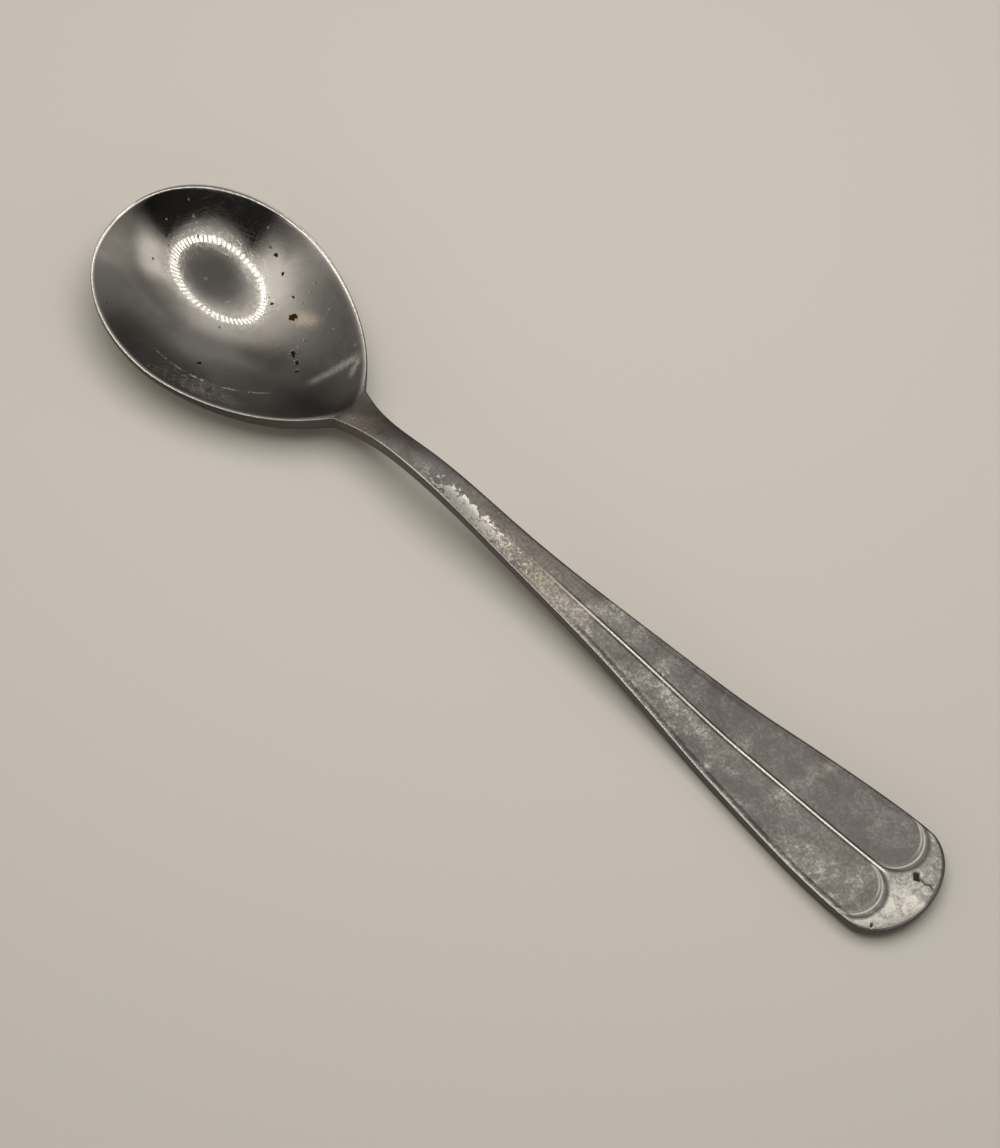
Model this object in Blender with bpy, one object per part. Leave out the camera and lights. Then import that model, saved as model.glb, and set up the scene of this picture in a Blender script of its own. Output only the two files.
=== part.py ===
"""A tablespoon lying on its back: a dished bowl and a fluted handle that meet at the neck.

Metres, +Z up. The table is Z = 0, +X runs from the bowl to the handle's end, and the
origin lies on the table halfway along the spoon.
"""

import math

import bmesh
import bpy
import numpy as np

# Lengths along the spoon
OVERALL_LENGTH = 0.2000
BOWL_LENGTH = 0.0610
WIDEST_FROM_FRONT = 0.0268
DEEPEST_FROM_FRONT = 0.0274
JOINT_FROM_BOWL = 0.0040
JOINT_GAP = 0.0003
NECK_FROM_BOWL = 0.0170
SHANK_FROM_END = 0.1000
FLARE_FROM_END = 0.0600
BROAD_FROM_END = 0.0350
END_ROUND_LENGTH = 0.0085

# Widths across the spoon
BOWL_WIDTH = 0.0437
HEEL_WIDTH = 0.0082
NECK_WIDTH = 0.0052
SHANK_WIDTH = 0.0067
FLARE_WIDTH = 0.0128
BROAD_WIDTH = 0.0190
END_WIDTH = 0.0232

# Heights of the upper edge above the table
FRONT_RIM_HEIGHT = 0.0112
SIDE_RIM_HEIGHT = 0.0088
HEEL_RIM_HEIGHT = 0.0087
NECK_HEIGHT = 0.0110
SHANK_HEIGHT = 0.0091
FLARE_HEIGHT = 0.0047
END_LIFT = 0.0012

# Metal thickness and edge; a chamfer takes at most a share of the edge it is on
BOWL_WALL = 0.0013
RIM_THICKNESS = 0.0014
NECK_THICKNESS = 0.0034
HANDLE_THICKNESS = 0.0029
EDGE_CHAMFER = 0.0004
CHAMFER_SHARE = 1 / 3
REST_WEAR = 0.00036

# Where the handle's underside lies flat on the table, measured back from its end
REST_START_FROM_END = 0.0420
REST_STOP_FROM_END = 0.0280

# Relief on the handle: two flutes, each closed by a round lobe
FLUTE_DEPTH = 0.0003
FLUTE_START_FROM_END = 0.0980
FLUTE_FADE = 0.0200
LOBE_FROM_END = 0.0115
LOBE_STEP = 0.0006

# Roundness exponents: 2 is an ellipse, more is squarer, less is more pointed
FRONT_ROUNDNESS = 2.17
HEEL_ROUNDNESS = 1.65
END_ROUNDNESS = 2.04
HEEL_BLEND = 4
FLUTE_FULLNESS = 4

# Curves of the dish, and how fast the half width falls where the rim meets the neck
FRONT_ARC = 0.55
HEEL_RAMP = 0.46
SIDE_ARC = 0.03
HEEL_TAPER = -0.36

# Colours and roughness of the worn steel
BOWL_COLOUR = (0.36, 0.35, 0.33)
BOWL_ROUGHNESS = 0.25
HANDLE_COLOUR = (0.31, 0.30, 0.29)
HANDLE_ROUGHNESS = 0.40

# Fineness of the meshes
FIRST_ANGLE = math.radians(2)
FRONT_RINGS = 14
HEEL_RINGS = 24
BLADE_RINGS = 33
BROAD_RINGS = 3
LOBE_RINGS = 10
END_RINGS = 14
BOWL_ACROSS = 21
HANDLE_ACROSS = 23
UNDERSIDE_ACROSS = 9
HEEL_CROWDING = 1.5
SHARP_ANGLE = math.radians(35)

JOINT = BOWL_LENGTH + JOINT_FROM_BOWL
NECK = BOWL_LENGTH + NECK_FROM_BOWL
REST_START = OVERALL_LENGTH - REST_START_FROM_END
REST_STOP = OVERALL_LENGTH - REST_STOP_FROM_END
END_ROUND_START = OVERALL_LENGTH - END_ROUND_LENGTH
LOBE_CENTRE = OVERALL_LENGTH - LOBE_FROM_END
LOBE_RADIUS = END_WIDTH / 4
FLOOR = BOWL_WALL - REST_WEAR


def smoothstep(s):
    """A ramp from 0 to 1 with level ends, held outside that range."""
    s = np.clip(s, 0, 1)
    return s * s * (3 - 2 * s)


def spline(points, start_slope, end_slope, x):
    """Cubic spline through (x, value) points with given slopes at both ends."""
    knots, values = np.array(points).T
    step = np.diff(knots)
    rise = np.diff(values) / step
    count = len(knots)
    matrix = np.eye(count)
    right = np.zeros(count)
    right[0] = start_slope
    right[-1] = end_slope
    for i in range(1, count - 1):
        matrix[i, i - 1] = step[i]
        matrix[i, i] = 2 * (step[i - 1] + step[i])
        matrix[i, i + 1] = step[i - 1]
        right[i] = 3 * (step[i] * rise[i - 1] + step[i - 1] * rise[i])
    slope = np.linalg.solve(matrix, right)
    x = np.clip(x, knots[0], knots[-1])
    k = np.clip(np.searchsorted(knots, x) - 1, 0, count - 2)
    t = (x - knots[k]) / step[k]
    bend = step[k] * (slope[k] * (1 - t) ** 2 * t - slope[k + 1] * t * t * (1 - t))
    return values[k] + (values[k + 1] - values[k]) * t * t * (3 - 2 * t) + bend


def bowl_reach(x):
    """Distance of x from the bowl's widest place, 0 there and 1 at either end, and that end's exponent."""
    ahead = x < WIDEST_FROM_FRONT
    span = np.where(ahead, WIDEST_FROM_FRONT, BOWL_LENGTH - WIDEST_FROM_FRONT)
    power = np.where(ahead, FRONT_ROUNDNESS, HEEL_ROUNDNESS)
    return np.clip(np.abs(x - WIDEST_FROM_FRONT) / span, 0, 1), power


def half_width(x):
    """Half the spoon's width: two half ovals for the bowl, blended into the handle's flaring outline."""
    reach, power = bowl_reach(x)
    bowl = BOWL_WIDTH / 2 * (1 - reach**power) ** (1 / power)
    stations = (
        (BOWL_LENGTH, HEEL_WIDTH / 2),
        (NECK, NECK_WIDTH / 2),
        (OVERALL_LENGTH - SHANK_FROM_END, SHANK_WIDTH / 2),
        (OVERALL_LENGTH - FLARE_FROM_END, FLARE_WIDTH / 2),
        (OVERALL_LENGTH - BROAD_FROM_END, BROAD_WIDTH / 2),
        (END_ROUND_START, END_WIDTH / 2),
    )
    handle = spline(stations, HEEL_TAPER, 0, x)
    handle = handle * smoothstep((x - WIDEST_FROM_FRONT) / (BOWL_LENGTH - WIDEST_FROM_FRONT))
    past = np.clip((x - END_ROUND_START) / END_ROUND_LENGTH, 0, 1)
    handle = handle * (1 - past**END_ROUNDNESS) ** (1 / END_ROUNDNESS)
    return (bowl**HEEL_BLEND + handle**HEEL_BLEND) ** (1 / HEEL_BLEND)


def rim_curve():
    """Parabola of the rim's height through its front, its middle and its heel."""
    places = (0, BOWL_LENGTH / 2, BOWL_LENGTH)
    return np.polyfit(places, (FRONT_RIM_HEIGHT, SIDE_RIM_HEIGHT, HEEL_RIM_HEIGHT), 2)


def handle_height(x):
    """Height of the handle's top: up over the neck, down to the table, and a small lift at the end."""
    stations = (
        (BOWL_LENGTH, HEEL_RIM_HEIGHT),
        (NECK, NECK_HEIGHT),
        (OVERALL_LENGTH - SHANK_FROM_END, SHANK_HEIGHT),
        (OVERALL_LENGTH - FLARE_FROM_END, FLARE_HEIGHT),
        (REST_START, HANDLE_THICKNESS),
    )
    heel_slope = np.polyval(np.polyder(rim_curve()), BOWL_LENGTH)
    lift = np.clip((x - REST_STOP) / REST_STOP_FROM_END, 0, 1)
    return spline(stations, heel_slope, 0, x) + END_LIFT * lift**2


def keel(x):
    """Height of the dish's middle line: an arc up to the front, a curve that straightens to the heel."""
    ahead = np.clip((DEEPEST_FROM_FRONT - x) / DEEPEST_FROM_FRONT, 0, 1)
    behind = np.clip((x - DEEPEST_FROM_FRONT) / (BOWL_LENGTH - DEEPEST_FROM_FRONT), 0, 1)
    arc = (1 - np.sqrt(1 - FRONT_ARC * ahead**2)) / (1 - math.sqrt(1 - FRONT_ARC))
    ramp = (np.hypot(1, behind / HEEL_RAMP) - 1) / (math.hypot(1, 1 / HEEL_RAMP) - 1)
    return FLOOR + (FRONT_RIM_HEIGHT - FLOOR) * arc + (HEEL_RIM_HEIGHT - FLOOR) * ramp


def top_height(x, v):
    """Height of the upper surface at length x and share v of the half width."""
    middle = keel(x)
    climb = v * v * (1 + SIDE_ARC * v * v) / (1 + SIDE_ARC)
    dish = middle + (np.polyval(rim_curve(), x) - middle) * climb
    return np.where(x < BOWL_LENGTH, dish, handle_height(x))


def thickness(x, v):
    """Metal thickness: the bowl's wall, growing into the neck at the heel, then the handle."""
    heel = smoothstep((x - WIDEST_FROM_FRONT) / (BOWL_LENGTH - WIDEST_FROM_FRONT))
    middle = BOWL_WALL + (NECK_THICKNESS - BOWL_WALL) * heel**2
    edge = RIM_THICKNESS + (NECK_THICKNESS - RIM_THICKNESS) * heel
    bowl = middle + (edge - middle) * v * v
    blade = smoothstep((x - NECK) / (REST_START - NECK))
    handle = NECK_THICKNESS + (HANDLE_THICKNESS - NECK_THICKNESS) * blade
    return np.where(x < BOWL_LENGTH, bowl, handle)


def flute_depth(x, y, half):
    """Depth of the two flutes: none on the centre ridge, the edges and the pad past the lobes."""
    across = 1 - np.abs(2 * np.abs(y) / half - 1) ** FLUTE_FULLNESS
    begin = smoothstep((x - OVERALL_LENGTH + FLUTE_START_FROM_END) / FLUTE_FADE)
    past_lobe = np.hypot(np.maximum(x - LOBE_CENTRE, 0), np.abs(y) - LOBE_RADIUS) - LOBE_RADIUS
    return FLUTE_DEPTH * np.clip(across, 0, 1) * begin * smoothstep(0.5 - past_lobe / LOBE_STEP)


def sections(x, across, under):
    """Closed outlines of the spoon, one row for each x: top, one edge, underside, other edge."""
    x = x[:, None]
    over_v = np.linspace(-1, 1, across)[None]
    under_v = np.linspace(1, -1, under)[None]
    half = half_width(x)
    top = top_height(x, over_v)
    bottom = np.maximum(top_height(x, under_v) - thickness(x, under_v), 0)
    edge_top = top[:, -1:]
    edge_bottom = bottom[:, :1]
    chamfer = np.minimum(EDGE_CHAMFER, CHAMFER_SHARE * np.minimum(edge_top - edge_bottom, half))
    over_y = over_v * (half - chamfer)
    top = top - flute_depth(x, over_y, half)
    side_z = np.hstack([edge_top - chamfer, edge_bottom + chamfer])
    side_y = np.hstack([half, half])
    y = np.hstack([over_y, side_y, under_v * (half - chamfer), -side_y])
    z = np.hstack([top, side_z, bottom, side_z[:, ::-1]])
    along = np.broadcast_to(x - OVERALL_LENGTH / 2, y.shape)
    return np.stack([along, y, z], axis=2)


def lofted_body(name, outlines, material, collection):
    """A capped cylinder whose rings are pushed onto the outlines, one ring for each."""
    rings, sides, _ = outlines.shape
    bm = bmesh.new()
    bmesh.ops.create_cone(bm, cap_ends=True, segments=sides, radius1=1, radius2=1, depth=1)
    walls = [edge for edge in bm.edges if edge.verts[0].co.z * edge.verts[1].co.z < 0]
    bmesh.ops.subdivide_edges(bm, edges=walls, cuts=rings - 2, use_grid_fill=True)
    for vert in bm.verts:
        ring = round((vert.co.z + 0.5) * (rings - 1))
        side = round(math.atan2(vert.co.x, vert.co.y) / math.tau * sides) % sides
        vert.co = outlines[ring, side]
    mesh = bpy.data.meshes.new(name)
    bm.to_mesh(mesh)
    bm.free()
    mesh.shade_smooth()
    mesh.set_sharp_from_angle(angle=SHARP_ANGLE)
    mesh.materials.append(material)
    body = bpy.data.objects.new(name, mesh)
    collection.objects.link(body)
    return body


def steel(name, colour, roughness):
    """Bare worn steel of one colour and roughness."""
    material = bpy.data.materials.new(name)
    material.use_nodes = True
    shader = material.node_tree.nodes["Principled BSDF"]
    shader.inputs["Base Color"].default_value = (*colour, 1)
    shader.inputs["Roughness"].default_value = roughness
    shader.inputs["Metallic"].default_value = 1
    return material


def make_bowl(collection):
    """The dished bowl with its rim and heel, from the front edge to the joint at the neck."""
    angle = np.linspace(FIRST_ANGLE, math.pi / 2, FRONT_RINGS)
    front = WIDEST_FROM_FRONT * (1 - np.cos(angle) ** (2 / FRONT_ROUNDNESS))
    heel_share = 1 - (1 - np.linspace(0, 1, HEEL_RINGS + 1)[1:]) ** HEEL_CROWDING
    joint_face = JOINT - JOINT_GAP / 2
    heel = WIDEST_FROM_FRONT + (joint_face - WIDEST_FROM_FRONT) * heel_share
    outlines = sections(np.concatenate([front, heel]), BOWL_ACROSS, BOWL_ACROSS)
    material = steel("bowl_steel", BOWL_COLOUR, BOWL_ROUGHNESS)
    return lofted_body("bowl", outlines, material, collection)


def make_handle(collection):
    """Neck, shank, fluted blade and rounded end, from the joint to the handle's end.

    The part that lies on the table has a ring only at its start and stop, so that it is one plane.
    """
    joint_face = JOINT + JOINT_GAP / 2
    lobe_start = LOBE_CENTRE - LOBE_RADIUS
    blade = np.linspace(joint_face, REST_START, BLADE_RINGS)
    broad = np.linspace(REST_STOP, lobe_start, BROAD_RINGS)
    lobe = np.linspace(lobe_start, END_ROUND_START, LOBE_RINGS)[1:]
    angle = np.linspace(math.pi / 2, FIRST_ANGLE, END_RINGS + 1)[1:]
    end = END_ROUND_START + END_ROUND_LENGTH * np.cos(angle) ** (2 / END_ROUNDNESS)
    outlines = sections(np.concatenate([blade, broad, lobe, end]), HANDLE_ACROSS, UNDERSIDE_ACROSS)
    material = steel("handle_steel", HANDLE_COLOUR, HANDLE_ROUGHNESS)
    return lofted_body("handle", outlines, material, collection)


def main():
    for old in list(bpy.data.objects):
        bpy.data.objects.remove(old, do_unlink=True)
    collection = bpy.data.collections.new("tablespoon")
    bpy.context.scene.collection.children.link(collection)
    rest = bpy.data.objects.new("table_point", None)
    collection.objects.link(rest)
    for body in (make_bowl(collection), make_handle(collection)):
        body.parent = rest


main()
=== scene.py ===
"""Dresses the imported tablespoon: fine worn-steel skins over its bowl and handle, on a pale lit floor.

Metres, +Z up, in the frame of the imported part. Lengths along the spoon are measured from the
bowl's front edge, which is the low end of the part's box along X.
"""

import math
from functools import reduce

import bmesh
import bpy
import numpy as np
from bpy.props import FloatProperty, FloatVectorProperty, IntProperty, PointerProperty
from mathutils import Matrix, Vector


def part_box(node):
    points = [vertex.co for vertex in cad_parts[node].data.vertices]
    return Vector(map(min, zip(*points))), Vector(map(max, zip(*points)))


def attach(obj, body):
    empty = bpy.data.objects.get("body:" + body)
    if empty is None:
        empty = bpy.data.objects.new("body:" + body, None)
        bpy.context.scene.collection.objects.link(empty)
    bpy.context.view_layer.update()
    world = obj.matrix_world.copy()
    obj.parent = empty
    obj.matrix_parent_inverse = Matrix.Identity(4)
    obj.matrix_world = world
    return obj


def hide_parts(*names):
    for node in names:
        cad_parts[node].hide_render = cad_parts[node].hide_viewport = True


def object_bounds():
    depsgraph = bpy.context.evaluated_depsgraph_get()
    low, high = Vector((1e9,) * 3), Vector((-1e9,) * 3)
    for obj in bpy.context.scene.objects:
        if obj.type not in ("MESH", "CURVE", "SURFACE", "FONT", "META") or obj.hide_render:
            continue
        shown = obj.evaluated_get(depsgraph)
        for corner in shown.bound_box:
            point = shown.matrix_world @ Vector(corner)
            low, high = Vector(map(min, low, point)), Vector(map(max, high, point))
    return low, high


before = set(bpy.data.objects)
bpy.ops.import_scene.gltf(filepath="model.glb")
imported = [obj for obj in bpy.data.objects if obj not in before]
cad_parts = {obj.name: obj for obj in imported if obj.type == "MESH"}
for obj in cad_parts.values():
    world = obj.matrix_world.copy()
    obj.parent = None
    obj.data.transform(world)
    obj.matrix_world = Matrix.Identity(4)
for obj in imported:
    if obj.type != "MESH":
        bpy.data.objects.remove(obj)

bl_info = {
    "name": "Tablespoon",
    "version": (1, 0, 0),
    "blender": (4, 5, 0),
    "location": "View3D > Sidebar > Tablespoon",
    "description": "Builds the worn steel skins of a tablespoon and the floor and light around it",
    "category": "Add Mesh",
}

BODY = "root"
CAD_LOW, CAD_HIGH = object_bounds()
BOWL_LOW, BOWL_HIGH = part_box("bowl")
HANDLE_LOW, HANDLE_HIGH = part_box("handle")
JOINT = (BOWL_HIGH.x + HANDLE_LOW.x) / 2 - CAD_LOW.x

# Fineness of the skins
FRONT_RINGS = 70
BOWL_RINGS = 62
HEEL_RINGS = 100
NECK_RINGS = 56
BLADE_RINGS = 130
LOBE_RINGS = 104
END_RINGS = 100
TOP_POINTS = 161
TOP_CROWDING = 0.55
UNDER_POINTS = 41
EDGE_POINTS = 7
SIDE_POINTS = 4
MERGE_DISTANCE = 1e-8

# Cosines of the slopes at which the rounded outer edge stops being crest and starts being wall
CREST_UPRIGHTNESS = 0.86
WALL_UPRIGHTNESS = 0.66

# Damage of the handle's top, measured from the bowl's front edge and the middle line
CHIP = (0.1951, 0.0030)
CHIP_REACH = (0.0011, 0.0009)
CHIP_SKEW = 0.35
CHIP_SHARPNESS = 4
CRACK = ((0.1958, 0.0031), (0.1972, 0.0029), (0.1979, 0.0033), (0.1986, 0.0031))
CRACK_HALF = 0.00007
CRACK_SHARE = 0.7
NICKS = ((0.1949, -0.0092), (0.1951, -0.0096), (0.1390, -0.0061))
NICK_RADIUS = 0.00016


def length(name, default, description):
    """A size in metres."""
    how = {"precision": 5, "unit": "LENGTH", "subtype": "DISTANCE"}
    return FloatProperty(name=name, description=description, default=default, **how)


def share(name, default, description):
    """A number without a unit."""
    return FloatProperty(name=name, description=description, default=default, precision=3)


def colour(name, default, description):
    """A linear colour."""
    return FloatVectorProperty(
        name=name, description=description, default=default, size=3, min=0, max=1, subtype="COLOR"
    )


class SpoonShape(bpy.types.PropertyGroup):
    """Sizes of the spoon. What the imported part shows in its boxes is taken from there."""

    overall_length: length("Overall length", CAD_HIGH.x - CAD_LOW.x, "From end to end")
    bowl_length: length("Bowl length", 0.0610, "From the front edge to where the rim meets the neck")
    widest: length("Widest place", 0.0268, "From the front edge to the bowl's widest place")
    deepest: length("Deepest place", 0.0274, "From the front edge to the bowl's deepest place")
    joint: length("Joint", JOINT, "From the front edge to the joint of bowl and handle")
    neck: length("Neck", 0.0780, "From the front edge to the narrowest, highest place of the neck")
    shank: length("Shank", 0.1000, "From the handle's end to the start of its flare")
    flare: length("Flare", 0.0600, "From the handle's end to the middle of its flare")
    broad: length("Broad part", 0.0350, "From the handle's end to its broad part")
    end_round: length("Rounded end", 0.0085, "Length of the rounded end")

    bowl_width: length("Bowl width", BOWL_HIGH.y - BOWL_LOW.y, "Across the rim at the widest place")
    heel_width: length("Heel width", 0.0082, "Across the top where the rim meets the neck")
    heel_taper: share("Heel taper", -0.36, "How fast the half width falls where the rim meets the neck")
    heel_blend: share("Heel blend", 4.0, "Sharpness of the corner between rim and neck")
    neck_width: length("Neck width", 0.0052, "Across the neck")
    shank_width: length("Shank width", 0.0067, "Across the start of the flare")
    flare_width: length("Flare width", 0.0128, "Across the middle of the flare")
    broad_width: length("Broad width", 0.0190, "Across the broad part")
    end_width: length("End width", HANDLE_HIGH.y - HANDLE_LOW.y, "Across the handle's end")
    front_roundness: share("Front roundness", 2.17, "Exponent of the bowl's front half outline")
    heel_roundness: share("Heel roundness", 1.65, "Exponent of the bowl's rear half outline")
    end_roundness: share("End roundness", 2.04, "Exponent of the handle's end outline")

    front_rim: length("Front rim height", BOWL_HIGH.z, "Height of the rim at the front")
    side_rim: length("Side rim height", 0.0088, "Height of the rim halfway along the bowl")
    heel_rim: length("Heel rim height", 0.0087, "Height of the rim at the neck")
    neck_height: length("Neck height", 0.0110, "Height of the neck's top")
    shank_height: length("Shank height", 0.0091, "Height of the top at the start of the flare")
    flare_height: length("Flare height", 0.0047, "Height of the top at the middle of the flare")
    end_lift: length("End lift", 0.0012, "How far the handle's end rises off the table")
    rest_start: length("Rest start", 0.0420, "From the handle's end to where its back meets the table")
    rest_stop: length("Rest stop", 0.0280, "From the handle's end to where its back leaves the table")

    bowl_floor: length("Bowl floor", 0.00094, "Metal under the bowl's deepest place")
    rim_edge: length("Rim edge", 0.0014, "Height of the rim's outer edge at the front")
    neck_thickness: length("Neck thickness", 0.0034, "Metal at the neck")
    handle_thickness: length("Handle thickness", 0.0029, "Metal at the broad part of the handle")
    rim_land: length("Rim land", 0.0005, "Width of the rim's flat top")
    heel_land: length("Heel land", 0.0005, "From the dish's rear end to where the rim meets the neck")
    rim_softness: length("Rim softness", 0.0002, "Rounding of the rim's inner edge")
    heel_softness: length("Heel softness", 0.0030, "Rounding under the neck's root")
    front_arc: share("Front arc", 0.55, "Square of the front's half length over its arc's radius")
    heel_ramp: share("Heel ramp", 0.46, "Share of the rear half that is curved before it runs straight")
    side_arc: share("Side arc", -0.14, "How much steeper than a parabola the bowl's sides end")
    inner_heel_roundness: share("Dish roundness", 1.66, "Exponent of the dish's rear half outline")

    rim_radius: length("Rim radius", 0.00022, "Rounding of the rim's outer edge")
    top_radius: length("Top edge radius", 0.00024, "Rounding of the handle's upper edges")
    end_radius: length("End edge radius", 0.00080, "Rounding of the upper edge round the handle's end")
    under_radius: length("Under edge radius", 0.00080, "Rounding of the handle's lower edges")
    neck_crown: length("Neck crown", 0.00030, "How far the neck's top stands above its edges")
    rest_wear: length("Rest wear", 0.00028, "Metal worn off where the bowl rests on the table")
    rest_softness: length("Rest softness", 0.00012, "Rounding at the border of the bowl's worn rest")

    flute_start: length("Flute start", 0.0985, "From the handle's end to where the flutes begin")
    flute_fade: length("Flute fade", 0.0300, "Length over which the flutes reach their depth")
    flute_dish: length("Flute dish", 0.00010, "Hollow of the flutes' floor")
    border: length("Border", 0.00040, "Width of the plain border along the flutes")
    border_run: length("Border run", 0.0011, "Width over which the flutes rise to the border")
    ridge_half: length("Ridge half width", 0.00012, "Half the width of the ridge between the flutes")
    lobe: length("Lobe", 0.0115, "From the handle's end to the centres of the lobes")
    lobe_radius: length("Lobe radius", 0.0059, "Radius of the round ends of the flutes")
    outer_step: length("Outer step", 0.00009, "Depth of the lobe's outer step")
    inner_step: length("Inner step", 0.00005, "Depth of each of the lobe's two inner steps")
    step_run: length("Step run", 0.00050, "Width of a step")
    bevel_drop: length("Bevel drop", 0.00010, "How far the handle's top falls at its worn edges")
    bevel_width: length("Bevel width", 0.00028, "Width of the handle's worn edges")
    flute_rise: length("Flute rise", 0.00022, "How far the flutes rise from the ridge to the border")
    first_shift: length("First shift", 0.0009, "How far the first inner step stands back")
    second_shift: length("Second shift", 0.0016, "How far the second inner step stands back")
    pad_crown: length("Pad crown", 0.00035, "How far the end pad falls towards its edge")
    damage_depth: length("Damage depth", 0.00025, "Depth of the chip, the crack and the nicks")


def smoothstep(s):
    """A ramp from 0 to 1 with level ends, held outside that range."""
    s = np.clip(s, 0, 1)
    return s * s * (3 - 2 * s)


def lower_of(a, b, softness):
    """The lower of two heights, with the corner where they cross rounded off."""
    return (a + b - np.sqrt((a - b) ** 2 + softness**2)) / 2


def spline(points, start_slope, end_slope, x):
    """Cubic spline through (x, value) points with given slopes at both ends, held outside them."""
    knots, values = np.array(points).T
    step = np.diff(knots)
    rise = np.diff(values) / step
    inner = np.diag(2 * (step[:-1] + step[1:]))
    inner += np.diag(step[:-2], 1) + np.diag(step[2:], -1)
    right = 3 * (step[1:] * rise[:-1] + step[:-1] * rise[1:])
    right[0] -= step[1] * start_slope
    right[-1] -= step[-2] * end_slope
    slope = np.concatenate([[start_slope], np.linalg.solve(inner, right), [end_slope]])
    x = np.clip(x, knots[0], knots[-1])
    k = np.clip(np.searchsorted(knots, x) - 1, 0, len(step) - 1)
    t = (x - knots[k]) / step[k]
    bend = step[k] * (slope[k] * (1 - t) ** 2 * t - slope[k + 1] * t * t * (1 - t))
    return values[k] + (values[k + 1] - values[k]) * t * t * (3 - 2 * t) + bend


def oval(x, middle, front, rear, half, front_power, rear_power):
    """Half width of an oval made of two half superellipses that meet at its widest place."""
    ahead = x < middle
    reach = np.where(ahead, (middle - x) / (middle - front), (x - middle) / (rear - middle))
    reach = np.clip(reach, 0, 1)
    power = np.where(ahead, front_power, rear_power)
    return half * (1 - reach**power) ** (1 / power)


def half_width(s, x):
    """Half the spoon's width: the bowl's oval blended into the handle's flaring outline."""
    end = s.overall_length
    bowl = oval(x, s.widest, 0, s.bowl_length, s.bowl_width / 2, s.front_roundness, s.heel_roundness)
    round_start = end - s.end_round
    stations = (
        (s.bowl_length, s.heel_width / 2),
        (s.neck, s.neck_width / 2),
        (end - s.shank, s.shank_width / 2),
        (end - s.flare, s.flare_width / 2),
        (end - s.broad, s.broad_width / 2),
        (round_start, s.end_width / 2),
    )
    handle = spline(stations, s.heel_taper, 0, x)
    handle = handle * smoothstep((x - s.widest) / (s.bowl_length - s.widest))
    past = np.clip((x - round_start) / s.end_round, 0, 1)
    handle = handle * (1 - past**s.end_roundness) ** (1 / s.end_roundness)
    return (bowl**s.heel_blend + handle**s.heel_blend) ** (1 / s.heel_blend)


def rim_curve(s):
    """Parabola of the rim's height through its front, its middle and its heel."""
    return np.polyfit((0, s.bowl_length / 2, s.bowl_length), (s.front_rim, s.side_rim, s.heel_rim), 2)


def plate_height(s, x):
    """Height of the rim and of the handle's top: over the neck, down to the table, a lift at the end."""
    end = s.overall_length
    rim = rim_curve(s)
    stations = (
        (s.bowl_length, s.heel_rim),
        (s.neck, s.neck_height),
        (end - s.shank, s.shank_height),
        (end - s.flare, s.flare_height),
        (end - s.rest_start, s.handle_thickness),
    )
    heel_slope = np.polyval(np.polyder(rim), s.bowl_length)
    lift = np.clip((x - end + s.rest_stop) / s.rest_stop, 0, 1)
    handle = spline(stations, heel_slope, 0, x) + s.end_lift * lift**2
    return np.where(x < s.bowl_length, np.polyval(rim, x), handle)


def keel(s, x, floor, front, front_height, rear, rear_height):
    """Height along the bowl's middle: an arc up to the front, a curve that straightens to the rear."""
    ahead = np.clip((s.deepest - x) / (s.deepest - front), 0, 1)
    behind = np.maximum((x - s.deepest) / (rear - s.deepest), 0)
    arc = (1 - np.sqrt(1 - s.front_arc * ahead**2)) / (1 - math.sqrt(1 - s.front_arc))
    bend = (np.hypot(1, behind / s.heel_ramp) - 1) / (math.hypot(1, 1 / s.heel_ramp) - 1)
    return floor + (front_height - floor) * arc + (rear_height - floor) * bend


def side_rise(s, v):
    """Rise across the bowl, 0 in the middle and 1 at the rim: a parabola that steepens outwards."""
    return v * v * (1 + s.side_arc * v * v) / (1 + s.side_arc)


def dish_height(s, x, y):
    """Height of the dish, which goes on rising past the rim's inner edge."""
    front = s.rim_land
    rear = s.bowl_length - s.heel_land
    front_height = np.polyval(rim_curve(s), front)
    rear_height = np.polyval(rim_curve(s), rear)
    middle = keel(s, x, s.bowl_floor, front, front_height, rear, rear_height)
    within = np.clip(x, front + s.rim_land, rear - s.heel_land)
    inner = s.bowl_width / 2 - s.rim_land
    half = oval(within, s.widest, front, rear, inner, s.front_roundness, s.inner_heel_roundness)
    within_middle = keel(s, within, s.bowl_floor, front, front_height, rear, rear_height)
    climb = np.polyval(rim_curve(s), within) - within_middle
    return middle + climb * side_rise(s, y / half)


def lobe_distance(s, x, y, shift):
    """Distance from the edge of a flute with a round end, less than 0 inside it."""
    centre = s.overall_length - s.lobe - shift
    return np.hypot(np.maximum(x - centre, 0), np.abs(y) - s.lobe_radius) - s.lobe_radius + s.ridge_half


def flute_depth(s, x, y, half):
    """Depth of the flutes: three steps at the round ends, a soft rise to the border, a hollow floor."""
    begin = smoothstep((x - s.overall_length + s.flute_start) / s.flute_fade)
    steps = s.outer_step * smoothstep(-lobe_distance(s, x, y, 0) / s.step_run)
    steps = steps + s.inner_step * smoothstep(-lobe_distance(s, x, y, s.first_shift) / s.step_run)
    last = smoothstep(-lobe_distance(s, x, y, s.second_shift) / s.step_run)
    inner_half = half - s.border
    across = np.clip(1 - (2 * np.abs(y) / inner_half - 1) ** 2, 0, 1)
    steps = steps + (s.inner_step + s.flute_dish * across) * last
    return begin * steps * smoothstep((inner_half - np.abs(y)) / s.border_run)


def from_line(x, y, start, stop):
    """Distance from a straight line between two places."""
    run = np.subtract(stop, start)
    t = np.clip(((x - start[0]) * run[0] + (y - start[1]) * run[1]) / (run @ run), 0, 1)
    return np.hypot(x - start[0] - t * run[0], y - start[1] - t * run[1])


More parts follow.
